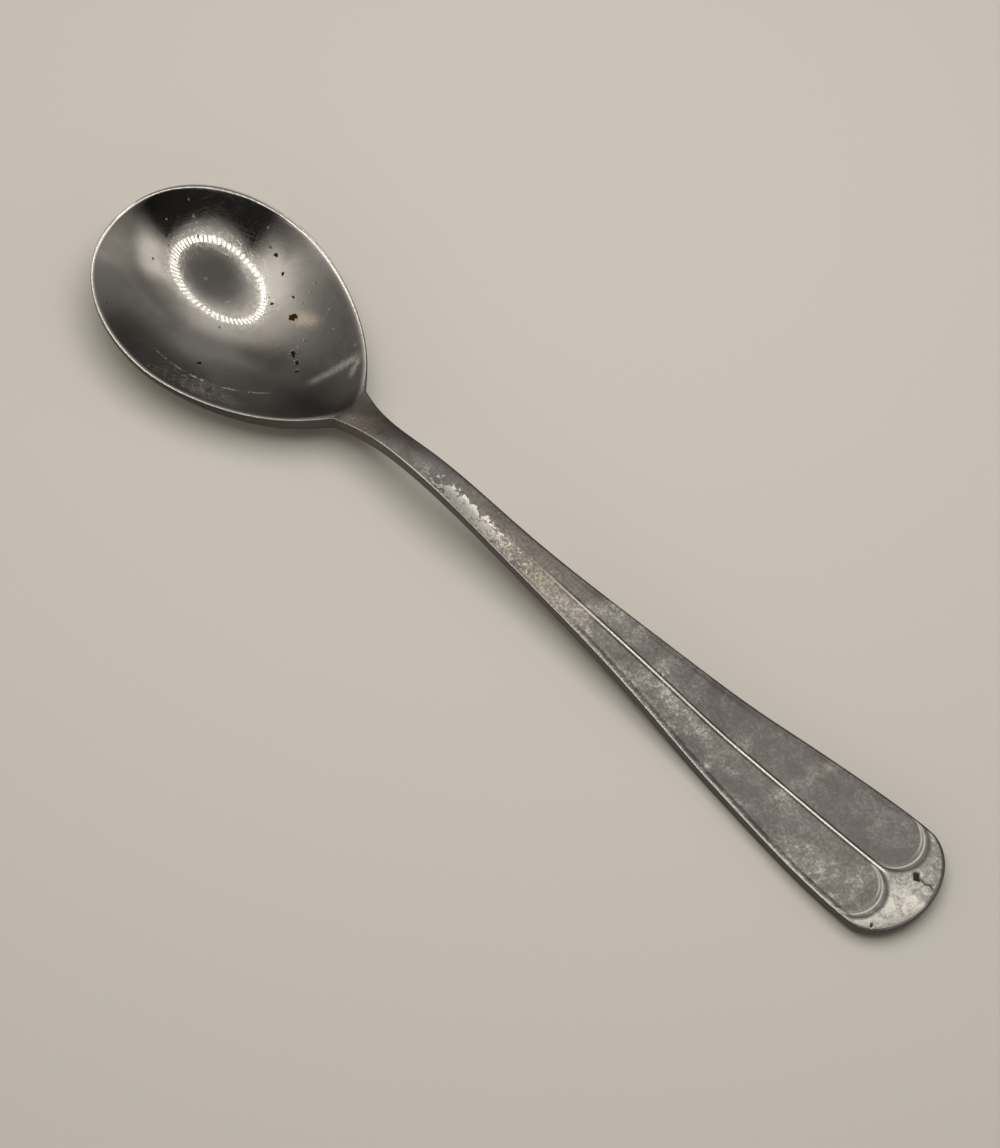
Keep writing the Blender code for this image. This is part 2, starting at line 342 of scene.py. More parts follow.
def damage(s, x, y):
    """Damage of the handle's top, 0 to 1: a diamond chip, a crack from it and nicks in the near edge."""
    off_x = x - CHIP[0]
    off_y = y - CHIP[1] + CHIP_SKEW * off_x
    chip = 1 - np.abs(off_x) / CHIP_REACH[0] - np.abs(off_y) / CHIP_REACH[1]
    chip = smoothstep(chip * CHIP_SHARPNESS)
    crack = np.min([from_line(x, y, *ends) for ends in zip(CRACK, CRACK[1:])], axis=0)
    crack = CRACK_SHARE * smoothstep(2 - crack / CRACK_HALF)
    nicks = 0 * x
    for place in NICKS:
        nicks = np.maximum(nicks, smoothstep(2 - np.hypot(x - place[0], y - place[1]) / NICK_RADIUS))
    return np.maximum(np.maximum(chip, crack), nicks)


def edge_bevel(s, x, y, half):
    """Worn slope along the handle's upper edges, 0 inside it and 1 at the edge."""
    on_handle = smoothstep((x - s.joint) / (s.neck - s.joint))
    return on_handle * smoothstep(1 - (half - s.top_radius - np.abs(y)) / s.bevel_width)


def top_height(s, x, y):
    """Height of the top: the dish where it lies below the rim and neck, less crowns and flutes."""
    half = half_width(s, x)
    rise = smoothstep((x - s.bowl_length + s.heel_land) / (s.neck - s.bowl_length))
    fall = 1 - smoothstep((x - s.overall_length + s.flute_start) / s.flute_fade)
    share_out = np.clip(np.abs(y) / np.maximum(half, s.rim_land), 0, 1)
    plate = plate_height(s, x) - s.neck_crown * rise * fall * share_out**2
    pad = smoothstep((x - s.overall_length + s.lobe) / s.lobe)
    off_edge = 1 - np.clip((half - np.abs(y)) / s.lobe_radius, 0, 1)
    plate = plate - s.pad_crown * pad * off_edge**2 + s.flute_rise * (1 - fall) * (1 - pad) * share_out
    plate = plate - s.damage_depth * damage(s, x, y) - s.bevel_drop * edge_bevel(s, x, y, half)
    return lower_of(dish_height(s, x, y), plate, s.rim_softness) - flute_depth(s, x, y, half)


def edge_height(s, x):
    """Height of the outer edge's wall: thin at the rim's front, as thick as the metal at the neck."""
    heel = smoothstep((x - s.widest) / (s.bowl_length - s.widest))
    blade = smoothstep((x - s.neck) / (s.overall_length - s.rest_start - s.neck))
    handle = s.neck_thickness + (s.handle_thickness - s.neck_thickness) * blade
    return s.rim_edge + (handle - s.rim_edge) * heel


def under_height(s, x, y):
    """Height of the underside: the bowl's outside, blended into the handle's slightly bulging back."""
    half = np.maximum(half_width(s, x), MERGE_DISTANCE)
    plate = plate_height(s, x)
    edge = edge_height(s, x)
    neck = edge_height(s, np.maximum(x, s.bowl_length))
    rear = s.bowl_length
    front_height = s.front_rim - s.rim_edge
    middle = keel(s, x, -s.rest_wear, 0, front_height, rear, s.heel_rim - s.neck_thickness)
    back = plate_height(s, np.maximum(x, rear)) - neck
    heel = smoothstep((x - s.deepest) / (rear - s.deepest))
    middle = middle + (lower_of(middle, back, s.heel_softness) - middle) * heel
    rim = plate - edge
    rim = np.where(x < rear, rim, np.maximum(rim, middle))
    rise = rim - middle
    height = middle + rise * side_rise(s, np.clip(np.abs(y) / half, 0, 1))
    worn = -lower_of(-height, 0, s.rest_softness)
    return np.where(x < rear, worn, np.maximum(height, 0))


def ring_places(s):
    """Places of the rings along the spoon, crowded at the ends, heel and lobes; and the joint's ring."""
    turn = np.linspace(0, math.pi / 2, FRONT_RINGS)
    front = s.widest * (1 - np.cos(turn) ** (2 / s.front_roundness))
    heel_start = s.bowl_length - s.heel_width
    bowl = np.linspace(s.widest, heel_start, BOWL_RINGS)[1:]
    heel = np.linspace(heel_start, s.joint, HEEL_RINGS)[1:]
    flute = s.overall_length - s.flute_start
    lobe = s.overall_length - s.lobe - s.lobe_radius
    round_start = s.overall_length - s.end_round
    neck = np.linspace(s.joint, flute, NECK_RINGS)[1:]
    blade = np.linspace(flute, lobe, BLADE_RINGS)[1:]
    lobes = np.linspace(lobe, round_start, LOBE_RINGS)[1:]
    turn = np.linspace(math.pi / 2, 0, END_RINGS)[1:]
    end = round_start + s.end_round * np.cos(turn) ** (2 / s.end_roundness)
    rings = np.concatenate([front, bowl, heel, neck, blade, lobes, end])
    return rings, len(front) + len(bowl) + len(heel) - 1


def spoon_rings(s):
    """Closed outlines round the spoon, one row for each ring, as (ring, point, xyz).

    Each ring runs over the top from -Y to +Y, round the edge, back under the spoon and up the
    other edge. Edge points are the outline moved inwards along its normal, by r(1 - sin a) at a
    drop of r(1 - cos a), so that the rounding also goes round the front and the end. Also gives
    the masks of the points and the number of the joint's ring.
    """
    x, joint = ring_places(s)
    half = half_width(s, x)
    half[[0, -1]] = 0
    run = np.gradient(x)
    climb = np.gradient(half)
    climb[0] = half[1]
    climb[-1] = -half[-2]
    run[[0, -1]] = 0
    normal_x = (-climb / np.hypot(run, climb))[:, None]
    normal_y = (run / np.hypot(run, climb))[:, None]
    x = x[:, None]
    half = half[:, None]
    on_handle = smoothstep((x - s.widest) / (s.bowl_length - s.widest))
    round_end = smoothstep((x - s.overall_length + s.lobe) / s.end_round)
    top_radius = s.rim_radius + (s.top_radius - s.rim_radius) * on_handle
    top_radius = top_radius + (s.end_radius - s.top_radius) * round_end
    under_radius = s.rim_radius + (s.under_radius - s.rim_radius) * on_handle

    t = np.linspace(-1, 1, TOP_POINTS)[None]
    v = t - TOP_CROWDING / math.tau * np.sin(math.tau * t)
    top_x = x - normal_x * top_radius + 0 * v
    top_y = v * (half - normal_y * top_radius)
    top_z = top_height(s, top_x, top_y)

    near = x - normal_x * under_radius
    far = x - normal_x * under_radius * 2
    near_z = under_height(s, near, half - normal_y * under_radius)
    far_z = under_height(s, far, half - normal_y * under_radius * 2)
    turn = np.arctan2(under_radius, np.maximum(near_z - far_z, 0))
    inset = under_radius * (1 - np.cos(turn))
    u = np.linspace(1, -1, UNDER_POINTS)[None]
    under_x = x - normal_x * inset + 0 * u
    under_y = u * (half - normal_y * inset)
    under_z = under_height(s, under_x, under_y)

    a = np.linspace(0, math.pi / 2, EDGE_POINTS)[None, 1:]
    upper_in = top_radius * (1 - np.sin(a))
    upper_z = top_z[:, -1:] - top_radius * (1 - np.cos(a))
    b = turn * np.linspace(0, 1, EDGE_POINTS)[None, :-1]
    lower_in = under_radius * (1 - np.cos(b))
    lower_z = under_z[:, :1] + under_radius * (np.sin(turn) - np.sin(b))
    down = np.linspace(0, 1, SIDE_POINTS)[None, 1:-1]
    side_z = upper_z[:, -1:] + (lower_z[:, :1] - upper_z[:, -1:]) * down
    edge_in = np.hstack([upper_in, 0 * side_z, lower_in])
    edge_x = x - normal_x * edge_in
    edge_y = half - normal_y * edge_in
    edge_z = np.hstack([upper_z, side_z, lower_z])

    along = np.hstack([top_x, edge_x, under_x, edge_x[:, ::-1]])
    across = np.hstack([top_y, edge_y, under_y, -edge_y[:, ::-1]])
    height = np.hstack([top_z, edge_z, under_z, edge_z[:, ::-1]])
    masks = surface_masks(s, top_x, top_y, np.hstack([np.cos(a), 0 * side_z[:1], 0 * lower_z[:1]]))
    return np.stack([along + CAD_LOW.x, across, height], axis=2), masks, joint


def surface_masks(s, x, y, uprightness):
    """Masks of the skin's points, 0 to 1, in the order of a ring's points.

    Uprightness is how far the points of the outer edge face up. A step's mask is greatest
    halfway down it. The lip is where the dish meets the rim, the land is the rim's flat top,
    and the border is where the flutes rise to the handle's edges.
    """
    past_flutes = smoothstep((x - s.overall_length + s.flute_start) / s.flute_fade)
    off_pad = lobe_distance(s, x, y, 0)
    off_steps = np.array([lobe_distance(s, x, y, shift) for shift in (0, s.first_shift, s.second_shift)])
    groove, *steps = smoothstep(1 - np.abs(1 + 2 * off_steps / s.step_run))
    round_ends = smoothstep((x - s.overall_length + s.lobe + s.second_shift) / s.second_shift)
    off_ridge = off_pad * smoothstep((x - s.overall_length + s.lobe) / s.lobe_radius)
    ridge = smoothstep(2 - np.abs(y) / s.ridge_half) * past_flutes
    ridge = ridge * smoothstep(1 - off_ridge / s.step_run)
    near_end = smoothstep((x - s.overall_length + s.lobe + s.lobe_radius) / s.lobe_radius)
    over_plate = (dish_height(s, x, y) - plate_height(s, x)) / s.rim_softness
    lip = smoothstep(1 - np.abs(over_plate))
    lip = lip * smoothstep((s.bowl_length - s.heel_land - x) / (s.heel_width / 2))
    half = half_width(s, x)
    lip = np.maximum(lip, edge_bevel(s, x, y, half))
    border = smoothstep(1 - (half - s.border - np.abs(y)) / (2 * s.border_run))
    lip[:, [0, -1]] = 1
    top_masks = {
        "top": np.ones(x.shape),
        "edge": lip,
        "wall": np.zeros(x.shape),
        "land": smoothstep(over_plate),
        "border": border * past_flutes,
        "ridge": ridge,
        "step": np.max(steps, axis=0) * round_ends,
        "groove": groove * round_ends,
        "pad": smoothstep(off_pad / s.step_run) * near_end,
        "mark": damage(s, x, y),
    }
    crest = smoothstep((uprightness - WALL_UPRIGHTNESS) / (CREST_UPRIGHTNESS - WALL_UPRIGHTNESS))
    side_masks = {"edge": crest, "wall": 1 - crest}
    under = np.zeros((len(x), UNDER_POINTS))
    masks = {}
    for name, mask in top_masks.items():
        side = np.repeat(side_masks.get(name, 0 * crest), len(x), axis=0)
        masks[name] = np.hstack([mask, side, under, side[:, ::-1]])
    return masks


def skin(name, rings, masks, joint_normals, joint_last, material):
    """A closed mesh through the rings, pointed where they shrink to a line and capped at the joint.

    The joint's ring takes its normals from the whole spoon, so that no seam shows where the two
    skins meet.
    """
    count, sides, _ = rings.shape
    index = np.arange(count * sides).reshape(count, sides)
    turned = np.roll(index, -1, axis=1)
    faces = np.stack([index[:-1], index[1:], turned[1:], turned[:-1]], axis=2).reshape(-1, 4).tolist()
    faces.append(index[-1, ::-1].tolist() if joint_last else index[0].tolist())
    mesh = bpy.data.meshes.new(name)
    mesh.from_pydata(rings.reshape(-1, 3), [], faces)
    for mask_name, mask in masks.items():
        attribute = mesh.attributes.new(mask_name, "FLOAT", "POINT")
        attribute.data.foreach_set("value", mask.astype(np.float32).ravel())
    bm = bmesh.new()
    bm.from_mesh(mesh)
    bmesh.ops.remove_doubles(bm, verts=bm.verts, dist=MERGE_DISTANCE)
    bm.to_mesh(mesh)
    bm.free()
    mesh.shade_smooth()
    normals = np.empty(len(mesh.vertices) * 3)
    mesh.vertex_normals.foreach_get("vector", normals)
    normals = normals.reshape(-1, 3)
    ring = slice(len(normals) - sides, None) if joint_last else slice(0, sides)
    normals[ring] = joint_normals
    mesh.normals_split_custom_set_from_vertices(normals)
    mesh.materials.append(material)
    piece = bpy.data.objects.new(name, mesh)
    bpy.context.scene.collection.objects.link(piece)
    return piece


def joint_ring_normals(rings, joint):
    """Outward normals of the joint's ring: the step along the spoon crossed with the step round it."""
    along = rings[joint + 1] - rings[joint - 1]
    round_it = np.roll(rings[joint], -1, axis=0) - np.roll(rings[joint], 1, axis=0)
    normal = np.cross(along, round_it)
    return normal / np.linalg.norm(normal, axis=1, keepdims=True)


class SpoonFinish(bpy.types.PropertyGroup):
    """Colours of the worn steel, some of them also laid as painted highlights and painted shade."""

    bowl_steel: colour("Bowl steel", (0.52, 0.495, 0.465), "Polished steel of the bowl")
    bowl_film: colour("Bowl film", (0.36, 0.335, 0.305), "Dull film on the bowl's polish")
    neck_steel: colour("Neck steel", (0.150, 0.132, 0.118), "Smooth dark steel of the neck")
    shank_steel: colour("Shank steel", (0.185, 0.180, 0.172), "Smooth grey steel of the shank")
    neck_cloud: colour("Neck cloud", (0.075, 0.066, 0.058), "Darker clouds on the neck")
    patina: colour("Patina", (0.182, 0.170, 0.165), "Dark grey patina in the flutes")
    # Bright rubbed steel, also laid as painted highlights on the rim, near edge, ridge, steps, pad, shank
    # and heel streaks
    pale_patina: colour("Pale patina", (0.42, 0.395, 0.380), "Patches where the patina is rubbed thin")
    bright_wear_and_highlight: colour("Bright wear", (0.86, 0.83, 0.78), "Steel rubbed bright")
    warm_wear: colour("Warm wear", (0.56, 0.47, 0.37), "Brownish steel around the rubbed shank")
    warm_glint: colour("Warm glint", (0.82, 0.73, 0.62), "Golden flakes beside the rubbed shank")
    # Dark tarnished steel with painted shade on the handle's walls and the bowl's outer wall; painted
    # shade alone on the far edge, grooves and far rim
    tarnish_and_shade: colour("Tarnish", (0.090, 0.080, 0.072), "Dark tarnish on the handle's walls and far edge")
    # Near-black tarnished steel with painted shade on the bowl's outer wall
    rim_wall_tarnish_and_shade: colour("Rim wall", (0.040, 0.035, 0.031), "Black tarnish on the outside of the rim")
    # Painted shade in the bowl's near heel and on its near wall
    painted_heel_shade: colour("Heel film", (0.130, 0.118, 0.106), "Dark film in the bowl's near heel")
    pit: colour("Pit", (0.030, 0.026, 0.022), "Dirt in pits and cracks")
    speck: colour("Speck", (0.170, 0.160, 0.150), "Dull specks on the bowl's polish")
    rust: colour("Rust", (0.090, 0.042, 0.020), "Rust in the bowl")
    stain: colour("Stain", (0.78, 0.68, 0.54), "Tan stain beside the rust")


def angle(name, degrees, description):
    """An angle, given in degrees."""
    radians = math.radians(degrees)
    return FloatProperty(name=name, description=description, default=radians, subtype="ANGLE")


def power(name, default, description):
    """A lamp's power in watts."""
    return FloatProperty(name=name, description=description, default=default, unit="POWER")


def place_on_floor(name, default, description):
    """A place on the floor in metres."""
    return FloatVectorProperty(
        name=name, description=description, default=default, size=2, subtype="XYZ", unit="LENGTH"
    )


class Studio(bpy.types.PropertyGroup):
    """Camera, floor and lamps around the spoon."""

    camera_heading: angle("Heading", 127.095, "Direction in which the camera looks")
    camera_dip: angle("Dip", 62.9237, "Angle below level at which the camera looks")
    camera_roll: angle("Roll", 6.4097, "Turn of the camera about its own axis")
    camera_distance: length("Distance", 0.480262, "From the camera to the point it looks at")
    camera_target: FloatVectorProperty(
        name="Target",
        description="Point that the camera looks at",
        default=(0.0016168, -0.0027627, -0.0002),
        size=3,
        subtype="TRANSLATION",
        unit="LENGTH",
    )
    camera_focal: share("Focal length", 2600 / 1148, "Focal length over the long side of the picture")
    floor_size: length("Floor size", 12.0, "Side of the floor")
    floor_colour: colour("Floor colour", (0.60, 0.56, 0.505), "Pale warm floor")
    floor_roughness: share("Floor roughness", 0.8, "Roughness of the floor's paint")
    floor_gloss: share("Floor gloss", 0.2, "Strength of the floor's gloss")

    ring_height: length("Ring height", 0.400, "Height of the ring of lamps above the floor")
    ring_length: length("Ring length", 0.380, "Length of the ring of lamps, along the spoon")
    ring_breadth: length("Ring breadth", 0.353, "Breadth of the ring of lamps, across the spoon")
    ring_centre: place_on_floor("Ring centre", (-0.1279, 0.0235), "Place of the ring's centre")
    ring_lamps: IntProperty(name="Ring lamps", description="Number of lamps in the ring", default=60)
    ring_power: power("Ring power", 0.22, "Power of the whole ring")
    bar_length: length("Bar length", 0.030, "Length of one lamp of the ring, outwards")
    bar_swing: share("Bar swing", 0.50, "How much longer the lamps on the ring's long-barred side are")
    bar_heading: angle("Bar heading", 85, "Direction from the ring's centre to its longest lamps")
    bar_width: length("Bar width", 0.006, "Width of one lamp of the ring")
    soft_height: length("Soft lamp height", 0.38, "Height of the soft lamp over the floor")
    soft_size: length("Soft lamp size", 0.42, "Breadth of the soft lamp")
    soft_centre: place_on_floor("Soft lamp centre", (-0.045, 0.08), "Place of the soft lamp")
    soft_power: power("Soft power", 0.95, "Power of the soft lamp")
    ring_colour: colour("Ring colour", (1.0, 0.97, 0.86), "Tint of the ring of lamps")
    wall_colour: colour("Wall colour", (1.0, 0.96, 0.90), "Tint of the light from the walls")
    low_level: share("Low level", 0.10, "Light from near the floor")
    middle_level: share("Middle level", 0.27, "Light from the middle of the walls")
    wall_level: share("Wall level", 0.75, "Light from the upper walls")
    roof_level: share("Roof level", 0.18, "Light from straight above")


class Wire:
    """A shader socket that takes part in arithmetic: an expression adds the Math nodes it needs."""

    def __init__(self, socket):
        self.socket = socket

    def make(self, kind, settings=None, sockets=None, output=0):
        """A new node of a kind: its settings first, then the values or links of its sockets."""
        node = self.socket.id_data.nodes.new(kind)
        for name, value in (settings or {}).items():
            setattr(node, name, value)
        for name, value in (sockets or {}).items():
            if isinstance(value, Wire):
                node.id_data.links.new(value.socket, node.inputs[name])
            else:
                node.inputs[name].default_value = value
        return Wire(node.outputs[output])

    def math(self, operation, first, second):
        return self.make("ShaderNodeMath", {"operation": operation}, {0: first, 1: second})

    def __add__(self, other):
        return self.math("ADD", self, other)

    def __sub__(self, other):
        return self.math("SUBTRACT", self, other)

    def __rsub__(self, other):
        return self.math("SUBTRACT", other, self)

    def __mul__(self, other):
        return self.math("MULTIPLY", self, other)

    __radd__ = __add__
    __rmul__ = __mul__

    def either(self, other):
        """The greater of two masks."""
        return self.math("MAXIMUM", self, other)

    def feed(self, shader, name):
        """Links this wire to a shader's socket."""
        self.socket.id_data.links.new(self.socket, shader.inputs[name])


def ramp(value, low, high):
    """A mask that goes smoothly from 0 at low to 1 at high."""
    settings = {"interpolation_type": "SMOOTHSTEP", "clamp": True}
    return value.make("ShaderNodeMapRange", settings, {0: value, 1: low, 2: high, 3: 0, 4: 1})


def noise(place, scale, detail, roughness=0.5, distortion=0.0):
    """Soft noise with so many blotches to the metre."""
    sockets = {"Vector": place, "Scale": scale, "Detail": detail}
    sockets |= {"Roughness": roughness, "Distortion": distortion}
    return place.make("ShaderNodeTexNoise", {}, sockets)


def blotches(place, sizes, cut):
    """A mask of the places where a noise is high."""
    return ramp(noise(place, *sizes), *cut)


def any_of(masks):
    """The greatest of several masks."""
    return reduce(Wire.either, masks)


def raised(mask, low, high):
    """A mask moved to run from low to high."""
    return low + (high - low) * mask


def between(mask, first, second):
    """One value where the mask is 0, another where it is 1."""
    return first * (1 - mask) + second * mask


def weighted(start, masks, weights):
    """A start value plus each named mask times its weight."""
    for name, weight in weights.items():
        start = start + masks[name] * weight
    return start


def zone(along, across, begin, end, side):
    """A mask of a stretch of the spoon, on one side of it."""
    return ramp(along, *begin) * ramp(along, *end) * ramp(across, *side)


def mix(mask, first, second):
    """One colour where the mask is 0, another where it is 1."""
    return mask.make("ShaderNodeMix", {"data_type": "RGBA"}, {0: mask, 6: first, 7: second}, output=2)


def paint(value):
    """A colour as a socket takes it."""
    return (*value, 1)


def coated(steel, coats, masks, finish):
    """A colour with others laid over it, each where its mask is and at its strength."""
    for mask_name, colour_name, strength in coats:
        steel = mix(masks[mask_name] * strength, steel, paint(getattr(finish, colour_name)))
    return steel


def surface_mask(place, name):
    """A mask that is kept on the skin's points."""
    return place.make("ShaderNodeAttribute", {"attribute_name": name}, output="Fac")


def part_of(place, axis):
    """One of the three numbers of a place."""
    return place.make("ShaderNodeSeparateXYZ", {}, {"Vector": place}, output=axis)


def spot_distance(place, x, y):
    """Level distance from a place along and across the spoon."""
    flat = place.make("ShaderNodeVectorMath", {"operation": "MULTIPLY"}, {0: place, 1: (1, 1, 0)})
    sockets = {0: flat, 1: (CAD_LOW.x + x, y, 0)}
    return flat.make("ShaderNodeVectorMath", {"operation": "DISTANCE"}, sockets, output="Value")


def spot(place, x, y, radius, edge):
    """A round spot at a place along and across the spoon, its edge moved by a wire."""
    return ramp(spot_distance(place, x, y) + edge, radius, radius * SPOT_CORE)


def hairlines(place, turn, reach, width):
    """Fine scratches that run one way."""
    sockets = {"Vector": place, "Rotation": (0, 0, turn), "Scale": (reach, width, reach)}
    stretched = place.make("ShaderNodeMapping", {"vector_type": "TEXTURE"}, sockets)
    return blotches(stretched, *HAIRLINE)


def streak(place, start, stop, half, edge):
    """A straight streak between two places along and across the spoon, its edge moved by a wire."""
    run = np.subtract(stop, start)
    reach = float(np.hypot(*run))
    centre = (CAD_LOW.x + start[0], start[1], 0)
    sockets = {"Vector": place, "Location": centre, "Rotation": (0, 0, math.atan2(run[1], run[0]))}
    turned = place.make("ShaderNodeMapping", {"vector_type": "TEXTURE"}, sockets)
    off = turned.make("ShaderNodeMath", {"operation": "ABSOLUTE"}, {0: part_of(turned, "Y")})
    past = part_of(turned, "X")
    ends = ramp(past, -half, half) * ramp(past, reach + half, reach - half)
    return ramp(off + edge, half, 0) * ends


def steel_shader(name):
    """A material with a metallic shader, and a wire of its Object coordinates."""
    material = bpy.data.materials.new(name)
    material.use_nodes = True
    shader = material.node_tree.nodes["Principled BSDF"]
    shader.inputs["Metallic"].default_value = 1
    place = Wire(shader.inputs["Base Color"]).make("ShaderNodeTexCoord", output="Object")
    return material, shader, place


def bumped(height, distance):
    """Normals tilted by a height."""
    return height.make("ShaderNodeBump", {}, {"Strength": 1, "Distance": distance, "Height": height})


# Share of a spot's radius that is its full core
SPOT_CORE = 0.55

# Marks in the bowl, along and across the spoon, with a radius or a half width last
RUST_SPOT = (0.0367, 0.0085, 0.0011)
STAIN = ((0.0362, 0.0085), (0.0415, 0.0104), 0.0028)
DIRT_SPOTS = (
    (0.0424, 0.0028, 0.00075),
    (0.0430, 0.0024, 0.00050),
    (0.0445, 0.0017, 0.00065),
    (0.0461, 0.0001, 0.00055),
    (0.0314, -0.0112, 0.00055),
    (0.0253, 0.0153, 0.00050),
    (0.0289, 0.0136, 0.00035),
    (0.0337, 0.0115, 0.00038),
    (0.0312, 0.0083, 0.00045),
)
# Streaks of painted highlight in the heel, which also add roughness
HEEL_STREAKS = (
    ((0.0500, -0.0010), (0.0536, 0.0093), 0.0016),
    ((0.0539, 0.0090), (0.0555, 0.0049), 0.0011),
)
SCRATCH_CENTRE = (0.0267, 0.0109)
SCRATCH_RADIUS = 0.0267
SCRATCH_WIDTH = (0.00028, 0.00004)
SCRATCH_STRENGTH = 0.8
# Directions, lengths and widths of the fine scratches
HAIRLINES = ((0.3, 0.007, 0.00014), (1.1, 0.006, 0.00012), (1.9, 0.006, 0.00012), (2.7, 0.006, 0.00012))

# How far a wobbling noise moves the edges of the marks
WOBBLE_NOISE = (1800, 3)
DIRT_WOBBLE = 0.0012
RUST_WOBBLE = 0.0024
STAIN_WOBBLE = 0.0020
SCRATCH_WOBBLE = 0.0004
STREAK_WOBBLE = 0.0010

# Specks in the cells of a flat pattern: cells to the metre, outer and inner radius in cells, how much
# smaller some are, the chance that a cell has none, and how much likelier they are on the far side
SPECK_CELLS = 330.0
SPECK_RADII = (0.13, 0.08)
SPECK_VARIETY = 0.06
SPECK_CHANCE = (0.94, 0.95)
SPECK_FAR_CHANCE = 0.22

# Zones of the finish: where each begins and where it is full, along or across the spoon
NEAR_SIDE = (0.0008, -0.0008)
HEEL_TOP = (0.0575, 0.0605)
HEEL_BACK = (0.044, 0.064)
HEEL_LAND = (0.040, 0.054)
FAR_LAND = (0.030, 0.048)
FAR_LIP = (0.052, 0.036)
HEEL_SHADE = (0.044, 0.054)
HEEL_SHADE_SIDE = (0.0065, -0.0020)
NEAR_WALL = ((0.008, 0.018), (0.042, 0.032), (-0.010, -0.015))
SCRATCH_ZONE = ((0.022, 0.026), (0.049, 0.045), (0, -0.004))
SPECK_FAR_SIDE = (-0.004, 0.008)
WALL_BLEND = (0.035, 0.064)
SHANK = (0.064, 0.080)
NECK = (0.086, 0.070)
SHANK_WEAR_AND_HIGHLIGHT = ((0.079, 0.090), (0.113, 0.090), (0.0012, -0.0012))
WARM_START = (0.085, 0.100)
WARM_STOP = (0.127, 0.103)
EDGE_HIGHLIGHT_START = (0.066, 0.084)

# Noises: blotches to the metre, detail, roughness and distortion; then the values where a mask of one
# begins and is full
FILM = ((75, 3, 0.55, 0.6), (0.42, 0.66))
MATT = ((2600, 2), (0.55, 0.76))
DASHES = ((700, 4, 0.7), (0.46, 0.60))
HAIRLINE = ((1, 1), (0.60, 0.70))
NECK_CLOUDS = ((220, 4, 0.6), (0.40, 0.68))
NECK_GRAIN = (3600, 2)
DENTS = (1100, 3, 0.6)
PATINA_NOISES = {"cloud": (80, 4, 0.6, 1.0), "crystal": (420, 4, 0.65, 1.2), "fine": (1900, 4, 0.75)}
FLAKE_NOISE = (850, 6, 0.72, 0.5)

# Shares of the patina's noises in each pattern of the handle, and where its mask begins and is full
THIN = ({"cloud": 0.66, "crystal": 0.20, "fine": 0.14}, (0.43, 0.70))
FROST = ({"cloud": 0.62, "crystal": 0.38}, (0.57, 0.70))
GRIT = ({"crystal": 0.4, "fine": 0.6}, (0.40, 0.62))
GLINT = ({"crystal": 0.4, "fine": 0.6}, (0.47, 0.62))
PAD_GRAIN = ({"crystal": 0.5, "fine": 0.5}, (0.42, 0.64))
SPECKLE = ({"fine": 1}, (0.40, 0.64))
GRIT_SHARE = 0.20

# Painted light that the near side adds to the patterns: inside the border and on it, and on the pad
NEAR_LIGHT = (0.05, 0.14)
NEAR_PAD_LIGHT = 0.08

# Bright flakes on the shank, worn steel and a painted highlight: how much their zone raises their noise,
# where it turns into flakes, and the part of the zone's mask over which they end
FLAKE_GATHERING = 0.24
FLAKE_CUT = (0.61, 0.66)
FLAKE_ZONE = (0, 0.2)

# Least and greatest strength of what a mask thins
THIN_STRENGTH = (0.45, 1)
WARM_STRENGTH = (0.12, 0.80)
FAR_WARMTH = (0.30, 1)
PAD_STRENGTH = (0.20, 0.78)
EDGE_HIGHLIGHT_STRENGTH = (0.36, 0.90)

# Colours laid over one another: the mask, the colour and its strength
BOWL_COATS = (("film", "bowl_film", 0.55), ("stain", "stain", 0.8), ("shade", "painted_heel_shade", 0.55))
HEEL_STREAK_HIGHLIGHT_STRENGTH = 0.6
RIM_COATS = (("edge_highlight", "bright_wear_and_highlight", 0.9), ("far_rim_shade", "tarnish_and_shade", 1))
NEAR_LIP_SHARE = 0.4
FAR_LAND_STRENGTH = 0.8
FAR_EDGE_STRENGTH = 0.4
MARK_COATS = (("speck", "speck", 0.8), ("rust", "rust", 1), ("dirt", "pit", 1))
PATINA_COATS = (("thin", "pale_patina", 1), ("frost", "bright_wear_and_highlight", 0.8))
WEAR_COATS = (
    ("warm", "warm_wear", 1),
    ("glint", "warm_glint", 0.6),
    ("bright", "bright_wear_and_highlight", 1),
    ("dark", "tarnish_and_shade", 1),
    ("mark", "pit", 0.9),
)
# Share of the painted highlight on the lobes' steps
STEP_SHINE = 0.7
# Painted shade on the handle's far edge and in the lobes' grooves
FAR_EDGE_SHADE = 0.12
GROOVE_SHADE = 0.55
SHANK_CLOUD = 0.4

# Roughness of the bare steel and what each mask adds to it, and the heights that make the bumps
BOWL_POLISH = 0.036
BOWL_ROUGHNESS = {"film": 0.02, "matt": 0.12, "dull_lines": 0.05, "stain": 0.30, "scratch": 0.25}
BOWL_ROUGHNESS |= {"heel_streak_highlight": 0.22, "edge": 0.08, "wall": 0.25, "dull": 0.5, "speck": 0.4}
BOWL_RELIEF = {"dents": 0.3, "lines": 0.25, "scratch": 3, "dull": -4, "speck": -3}
BOWL_BUMP = 0.000005
NECK_SATIN = 0.23
NECK_ROUGHNESS = {"cloud": 0.06, "grain": 0.08}
NECK_RELIEF = 0.2
HANDLE_SATIN = 0.28
HANDLE_ROUGHNESS = {"fine": 0.16, "bright": -0.10, "mark": 0.3}
HANDLE_RELIEF = {"crystal": 0.5, "fine": 0.6, "flakes": 2, "pad_wear_and_highlight": 2}
HANDLE_BUMP = 0.000012


def neck_finish(finish, place, along):
    """Colour, roughness and height of the dull smooth steel where bowl and handle meet."""
    masks = {"cloud": blotches(place, *NECK_CLOUDS), "grain": noise(place, *NECK_GRAIN)}
    steel = mix(masks["cloud"], paint(finish.neck_steel), paint(finish.neck_cloud))
    shank = ramp(along, *SHANK) * (1 - masks["cloud"] * SHANK_CLOUD)
    steel = mix(shank, steel, paint(finish.shank_steel))
    return steel, weighted(NECK_SATIN, masks, NECK_ROUGHNESS), masks["grain"] * NECK_RELIEF


